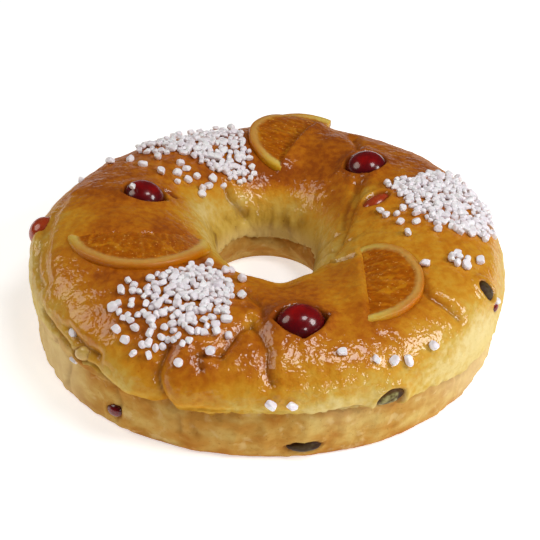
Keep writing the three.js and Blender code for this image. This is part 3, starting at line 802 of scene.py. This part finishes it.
def make_sugar(material):
    """All the grains as one piece; it rides with the dough, whose solid has the larger ones."""
    corners, triangles = ball(3)
    directions = unit(corners)
    chance = np.random.default_rng(GRAIN_SEED)
    points, faces = [], []
    for order, (size, place, out) in enumerate(sugar_grains()):
        points.append(grain_points(directions, size, place, out, chance))
        faces.append(triangles + order * len(corners))
    points, faces = np.concatenate(points), np.concatenate(faces).tolist()
    make_piece("pearl_sugar", points, faces, material, [], smooth=False)


def colour(red, green, blue):
    """A screen colour of 0 to 255 as the linear colour that shaders take."""
    def linear(value):
        share = value / 255
        return share / 12.92 if share <= 0.04045 else ((share + 0.055) / 1.055) ** 2.4
    return (linear(red), linear(green), linear(blue), 1)


def feed(tree, node, inputs):
    """Sets or links inputs of a node, which are named with _ in place of each space."""
    for name, value in inputs.items():
        put(tree, node.inputs[name.replace("_", " ")], value)


def put(tree, socket, value):
    if isinstance(value, bpy.types.NodeSocket):
        tree.links.new(value, socket)
    else:
        socket.default_value = value


def add_node(tree, kind, settings=None, **inputs):
    made = tree.nodes.new("ShaderNode" + kind)
    for name, value in (settings or {}).items():
        setattr(made, name, value)
    feed(tree, made, inputs)
    return made


def look(tree, name):
    return add_node(tree, "Attribute", {"attribute_name": name}).outputs["Fac"]


def lumps(tree, size_mm, detail=2.0, distortion=0.0, stretch=(1, 1, 1)):
    """Noise of 0 to 1 with lumps of a size."""
    place = add_node(tree, "TexCoord").outputs["Object"]
    if stretch != (1, 1, 1):
        place = add_node(tree, "Mapping", Vector=place, Scale=stretch).outputs["Vector"]
    scale = 1 / (size_mm * MM)
    made = add_node(tree, "TexNoise", Vector=place, Scale=scale, Detail=detail, Distortion=distortion)
    return made.outputs["Fac"]


def between(tree, value, low, high, low_result=0.0, high_result=1.0):
    """A value's smooth passage from one result at low to another at high."""
    made = add_node(
        tree, "MapRange", {"interpolation_type": "SMOOTHSTEP"}, Value=value,
        From_Min=low, From_Max=high, To_Min=low_result, To_Max=high_result,
    )
    return made.outputs["Result"]


def combine(tree, operation, *values):
    made = tree.nodes.new("ShaderNodeMath")
    made.operation = operation
    for socket, value in zip(made.inputs, values):
        put(tree, socket, value)
    return made.outputs[0]


def blend(tree, share, first, second):
    made = tree.nodes.new("ShaderNodeMix")
    made.data_type = "RGBA"
    put(tree, made.inputs[0], share)
    put(tree, made.inputs[6], first)
    put(tree, made.inputs[7], second)
    return made.outputs[2]


def paint(tree, base, shade, where, strength=1.0):
    """A base with a screen colour over it where a value of 0 to 1 says, at a strength."""
    if strength < 1:
        where = combine(tree, "MULTIPLY", where, strength)
    return blend(tree, where, base, colour(*shade))


def ramp(tree, share, stops):
    """Screen colours that pass into each other, each with its place from 0 to 1."""
    made = add_node(tree, "ValToRGB", Fac=share)
    points = made.color_ramp.elements
    while len(points) < len(stops):
        points.new(0.5)
    for point, (place, shade) in zip(points, stops):
        point.position = place
        point.color = colour(*shade)
    return made.outputs["Color"]


def bump(tree, height, distance_mm, strength=1.0, under=None):
    made = add_node(tree, "Bump", Height=height, Distance=distance_mm * MM, Strength=strength)
    if under is not None:
        tree.links.new(under, made.inputs["Normal"])
    return made.outputs["Normal"]


def new_material(name):
    material = bpy.data.materials.new(name)
    material.use_nodes = True
    return material, material.node_tree


def set_surface(tree, **inputs):
    feed(tree, tree.nodes["Principled BSDF"], inputs)


def quiet_edges(tree):
    """A gloss of 1 that fades where a surface turns away, as the uneven glaze there scatters."""
    turned = add_node(tree, "LayerWeight", Blend=0.5).outputs["Facing"]
    return between(tree, turned, 0.5, 0.92, 1.0, 0.08)


def crust_colour(tree):
    """Egg-washed crust from pale yellow through gold to brown."""
    patchy = between(tree, lumps(tree, 24, 3), 0.3, 0.7, -0.16, 0.16)
    mottled = between(tree, lumps(tree, 3.5, 5), 0.3, 0.7, -0.13, 0.13)
    freckles = between(tree, lumps(tree, 1.3, 2), 0.62, 0.76, 0, 0.2)
    browning = look(tree, "brown")
    for part in (patchy, mottled, freckles):
        browning = combine(tree, "ADD", browning, part)
    return ramp(tree, combine(tree, "MULTIPLY_ADD", browning, 0.62, 0.19), [
        (0.0, (226, 202, 132)), (0.19, (212, 176, 84)), (0.3, (209, 160, 58)), (0.46, (207, 144, 34)),
        (0.61, (196, 122, 18)), (0.77, (180, 99, 10)), (0.92, (152, 74, 6)),
    ])


def wall_colour(tree):
    """The wall of the hole, which stayed pale: olive-yellow with darker spots and smears."""
    smears = lumps(tree, 7, 4, 0.3, (1, 1, 0.4))
    shade = ramp(tree, smears, [(0.32, (150, 112, 36)), (0.45, (190, 152, 58)), (0.65, (210, 178, 86))])
    low = between(tree, look(tree, "girth"), 0.72, 0.8)
    shade = paint(tree, shade, (214, 188, 124), low, 0.65)
    spots = between(tree, lumps(tree, 3.2, 3), 0.66, 0.74)
    return paint(tree, shade, (96, 60, 16), spots, 0.6)


def foot_colour(tree):
    """The matt foot: tan with browner smears, scuffs and specks, brownest where it stood."""
    girth, brown = look(tree, "girth"), look(tree, "brown")
    smears = lumps(tree, 14, 5, 0.1, (1, 1, 1.6))
    shade = ramp(tree, smears, [(0.3, (182, 118, 42)), (0.48, (198, 148, 68)), (0.7, (216, 184, 106))])
    specks = between(tree, lumps(tree, 1.4, 3), 0.62, 0.72)
    shade = paint(tree, shade, (146, 92, 36), specks, 0.4)
    scuffs = between(tree, lumps(tree, 6, 5, 0.3), 0.56, 0.72)
    shade = paint(tree, shade, (230, 204, 144), scuffs, 0.45)
    shade = paint(tree, shade, (238, 214, 158), between(tree, brown, -0.25, 0.0, 0.6, 0.0))
    shade = paint(tree, shade, (178, 118, 42), between(tree, brown, 0.0, 0.25, 0.0, 0.35))
    in_hole = between(tree, girth, 0.5, 0.6)
    shade = paint(tree, shade, (140, 96, 34), in_hole, 0.3)
    return paint(tree, shade, (160, 100, 40), between(tree, girth, 0.07, 0.02))


def bread_colour(tree):
    """Crust, wall and foot, with painted shade on the hole's wall, in folds and round the fruit."""
    shade = blend(tree, look(tree, "wall"), crust_colour(tree), wall_colour(tree))
    ragged = between(tree, lumps(tree, 2.6, 3), 0.3, 0.7, -0.3, 0.3)
    foot = between(tree, combine(tree, "ADD", look(tree, "band"), ragged), 0.35, 0.65)
    shade = blend(tree, foot, shade, foot_colour(tree))
    # Painted shade on the side of the hole's wall that lies in shade
    shade = paint(tree, shade, (104, 68, 20), look(tree, "shadow"), 0.75)
    # Painted shade in the folds, in the seam and in the torn hollows above it
    shade = paint(tree, shade, (120, 62, 8), look(tree, "fold"), 0.55)
    # Painted shade in the dark line round the orange slices
    shade = paint(tree, shade, (140, 72, 8), look(tree, "bed"), 0.3)
    # Painted shade in the fruit's sockets
    return paint(tree, shade, (120, 44, 8), look(tree, "socket"), 0.7)


def bread_material():
    """Glazed crust, whose gloss ends above the foot and down the hole's wall."""
    material, tree = new_material("glazed_crust")
    girth = look(tree, "girth")
    glaze = combine(tree, "MULTIPLY", between(tree, girth, 0.2, 0.34), between(tree, girth, 0.8, 0.66))
    gloss = combine(tree, "MULTIPLY", quiet_edges(tree), 0.75)
    waves = bump(tree, lumps(tree, 9, 1, 0.3), 1.2, 0.5)
    pebbles = bump(tree, lumps(tree, 2.3, 1.2, 0.3), 0.8, 0.5, waves)
    fine = bump(tree, lumps(tree, 1.0, 2), 0.1, 0.5, pebbles)
    set_surface(
        tree, Base_Color=bread_colour(tree), Roughness=between(tree, glaze, 0.0, 1.0, 0.8, 0.55),
        Specular_IOR_Level=0.08, Normal=fine, Coat_Weight=combine(tree, "MULTIPLY", glaze, gloss),
        Coat_Roughness=0.03, Coat_Normal=fine,
    )
    return material


def cherry_material():
    """Syrup-glossed glace cherry, dark red, with a painted glow of clearer red on its crown."""
    material, tree = new_material("glace_cherry")
    # Painted glow: clearer red towards the crown out of the dough, and painted shade down the sides
    clear = combine(tree, "MULTIPLY", between(tree, look(tree, "crown"), 0.3, 1.0), lumps(tree, 7, 2))
    shade = ramp(tree, clear, [(0.0, (78, 2, 12)), (0.35, (112, 3, 8)), (0.75, (160, 8, 4))])
    set_surface(
        tree, Base_Color=paint(tree, shade, (168, 62, 24), look(tree, "amber")), Roughness=0.24,
        Specular_IOR_Level=0.25, Coat_Weight=combine(tree, "MULTIPLY", quiet_edges(tree), 0.6),
        Coat_Roughness=0.1, Subsurface_Weight=0.35, Subsurface_Radius=(0.004, 0.0006, 0.0005),
        Normal=bump(tree, lumps(tree, 4, 2), 0.5, 0.25),
    )
    return material


def chip_material():
    """Dark green and brown candied fruit."""
    material, tree = new_material("candied_chip")
    shade = ramp(tree, lumps(tree, 3, 3), [
        (0.36, (78, 58, 28)), (0.46, (122, 112, 62)), (0.7, (176, 168, 112)),
    ])
    end = between(tree, combine(tree, "ADD", look(tree, "along"), lumps(tree, 4, 2)), 0.75, 1.1)
    shade = paint(tree, shade, (58, 34, 14), end)
    shade = paint(tree, shade, (84, 56, 20), between(tree, look(tree, "crown"), 0.75, 0.45))
    shade = paint(tree, shade, (54, 30, 10), look(tree, "dark"), 0.9)
    set_surface(
        tree, Base_Color=shade, Roughness=0.45, Specular_IOR_Level=0.15,
        Normal=bump(tree, lumps(tree, 1.6, 3), 0.6, 0.5),
    )
    return material


def peel_material():
    """Dull yellow candied peel."""
    material, tree = new_material("candied_peel")
    shade = ramp(tree, lumps(tree, 4, 3), [(0.3, (196, 152, 60)), (0.7, (218, 182, 96))])
    set_surface(
        tree, Base_Color=shade, Roughness=0.3, Normal=bump(tree, lumps(tree, 1.6, 3), 0.5, 0.4)
    )
    return material


def flesh_colour(tree, share, spread):
    """Candied flesh, grainy outward from the slice's middle, with paler blotches and painted glints."""
    along = combine(tree, "MULTIPLY", share, 6.0)
    across = combine(tree, "MULTIPLY", combine(tree, "MULTIPLY", spread, share), 16.0)
    place = add_node(tree, "CombineXYZ", X=across, Y=along).outputs["Vector"]
    pulp = add_node(tree, "TexNoise", Vector=place, Scale=1.0, Detail=3.0).outputs["Fac"]
    shade = ramp(tree, pulp, [(0.3, (158, 78, 4)), (0.5, (178, 96, 6)), (0.66, (198, 118, 16))])
    shade = paint(tree, shade, (150, 74, 2), between(tree, lumps(tree, 2.6, 3), 0.42, 0.6, 0.0, 0.5))
    blotches = between(tree, lumps(tree, 9, 4, 0.6), 0.56, 0.68)
    shade = paint(tree, shade, (218, 148, 26), blotches, 0.5)
    # Painted glints: small pale highlight specks on the flesh
    painted_glints = between(tree, lumps(tree, 1.5, 2), 0.64, 0.72)
    shade = paint(tree, shade, (238, 180, 96), painted_glints, 0.7)
    return paint(tree, shade, (206, 140, 50), look(tree, "membrane"), 0.2)


def orange_material():
    """Candied orange: clear grainy flesh, pale pith and a bright rind, both paler at their ends."""
    material, tree = new_material("candied_orange")
    share, spread = look(tree, "share"), look(tree, "spread")
    ends = between(tree, combine(tree, "ABSOLUTE", spread), 0.55, 0.95)
    pith = blend(tree, ends, colour(210, 160, 80), colour(224, 198, 100))
    rind = blend(tree, ends, colour(194, 110, 4), colour(208, 156, 20))
    ragged = combine(tree, "ADD", share, between(tree, lumps(tree, 3, 3), 0.3, 0.7, -0.012, 0.012))
    shade = blend(tree, between(tree, ragged, 0.81, 0.9, 0.0, 0.85), flesh_colour(tree, share, spread), pith)
    shade = blend(tree, between(tree, ragged, 0.9, 1.0, 0.0, 0.8), shade, rind)
    shade = blend(tree, between(tree, look(tree, "side"), 0.0, 0.3), shade, rind)
    set_surface(
        tree, Base_Color=shade, Roughness=0.28, Specular_IOR_Level=0.22, Subsurface_Weight=0.25,
        Subsurface_Radius=(0.003, 0.0012, 0.0004), Normal=bump(tree, lumps(tree, 1.4, 3), 0.5, 0.4),
    )
    return material


def sugar_material():
    """Opaque white sugar with a frosty grain."""
    material, tree = new_material("pearl_sugar")
    shade = ramp(tree, lumps(tree, 4, 3), [(0.3, (238, 230, 236)), (0.7, (252, 248, 250))])
    set_surface(
        tree, Base_Color=shade, Roughness=0.5, Subsurface_Weight=0.8,
        Subsurface_Radius=(0.0034, 0.0032, 0.0032), Normal=bump(tree, lumps(tree, 1.0, 3), 0.3, 0.5),
    )
    return material


def add_camera():
    """A camera that looks at the target from the front, a little rolled."""
    rise, roll = math.radians(CAMERA_RISE), math.radians(CAMERA_ROLL)
    back = Vector((0, -math.cos(rise), math.sin(rise)))
    upright = Vector((0, math.sin(rise), math.cos(rise)))
    right = Vector((1, 0, 0)) * math.cos(roll) + upright * math.sin(roll)
    up = upright * math.cos(roll) - Vector((1, 0, 0)) * math.sin(roll)
    data = bpy.data.cameras.new("camera")
    data.sensor_width = SENSOR_MM
    data.lens = FOCAL_PIXELS * SENSOR_MM / PHOTO_WIDTH
    data.clip_end = 20
    camera = bpy.data.objects.new("camera", data)
    place = (Vector(CAMERA_TARGET) + Vector(AXIS) + back * CAMERA_DISTANCE) * MM
    camera.matrix_world = Matrix.Translation(place) @ Matrix([right, up, back]).transposed().to_4x4()
    bpy.context.scene.collection.objects.link(camera)
    bpy.context.scene.camera = camera


def add_lamp(name, azimuth, elevation, distance, width, power, tint):
    """A round soft lamp that faces the bread from a direction."""
    data = bpy.data.lights.new(name, "AREA")
    data.shape = "DISK"
    data.size = width
    data.energy = power
    data.color = tint
    lamp = bpy.data.objects.new(name, data)
    turn, rise = math.radians(azimuth), math.radians(elevation)
    away = Vector((math.cos(rise) * math.cos(turn), math.cos(rise) * math.sin(turn), math.sin(rise)))
    lamp.location = away * distance + Vector((0, 0, HEIGHT * MM / 2))
    lamp.rotation_euler = away.to_track_quat("Z", "Y").to_euler()
    bpy.context.scene.collection.objects.link(lamp)


def add_floor():
    """A pale floor that glows a little, as the white ground does in the photograph."""
    material, tree = new_material("pale_floor")
    set_surface(
        tree, Base_Color=(0.9, 0.9, 0.9, 1), Roughness=0.9, Specular_IOR_Level=0,
        Emission_Color=(1, 1, 1, 1), Emission_Strength=0.55,
    )
    mesh = bpy.data.meshes.new("floor")
    corners = [(x * FLOOR_REACH, y * FLOOR_REACH, 0) for x, y in ((-1, -1), (1, -1), (1, 1), (-1, 1))]
    mesh.from_pydata(corners, [], [(0, 1, 2, 3)])
    mesh.materials.append(material)
    floor = bpy.data.objects.new("floor", mesh)
    bpy.context.scene.collection.objects.link(floor)


def add_light():
    world = bpy.data.worlds.new("studio")
    world.use_nodes = True
    background = world.node_tree.nodes["Background"]
    feed(world.node_tree, background, {"Color": (1, 1, 1, 1), "Strength": 0.06})
    bpy.context.scene.world = world
    for lamp in LAMPS:
        add_lamp(*lamp)
    bpy.context.scene.view_settings.view_transform = "Standard"


def build():
    kinds = {
        "cherry": [cherry_material(), "cherry"],
        "fruit": [chip_material(), "chip"],
        "peel": [peel_material(), "peel"],
    }
    make_dough(bread_material())
    for fruit in FRUITS:
        make_fruit(fruit, *kinds[fruit["name"].split("_")[0]])
    orange = orange_material()
    for seed, slice_ in enumerate(SLICES):
        make_slice(slice_, orange, seed + 1)
    make_sugar(sugar_material())


build()
add_floor()
add_light()
add_camera()
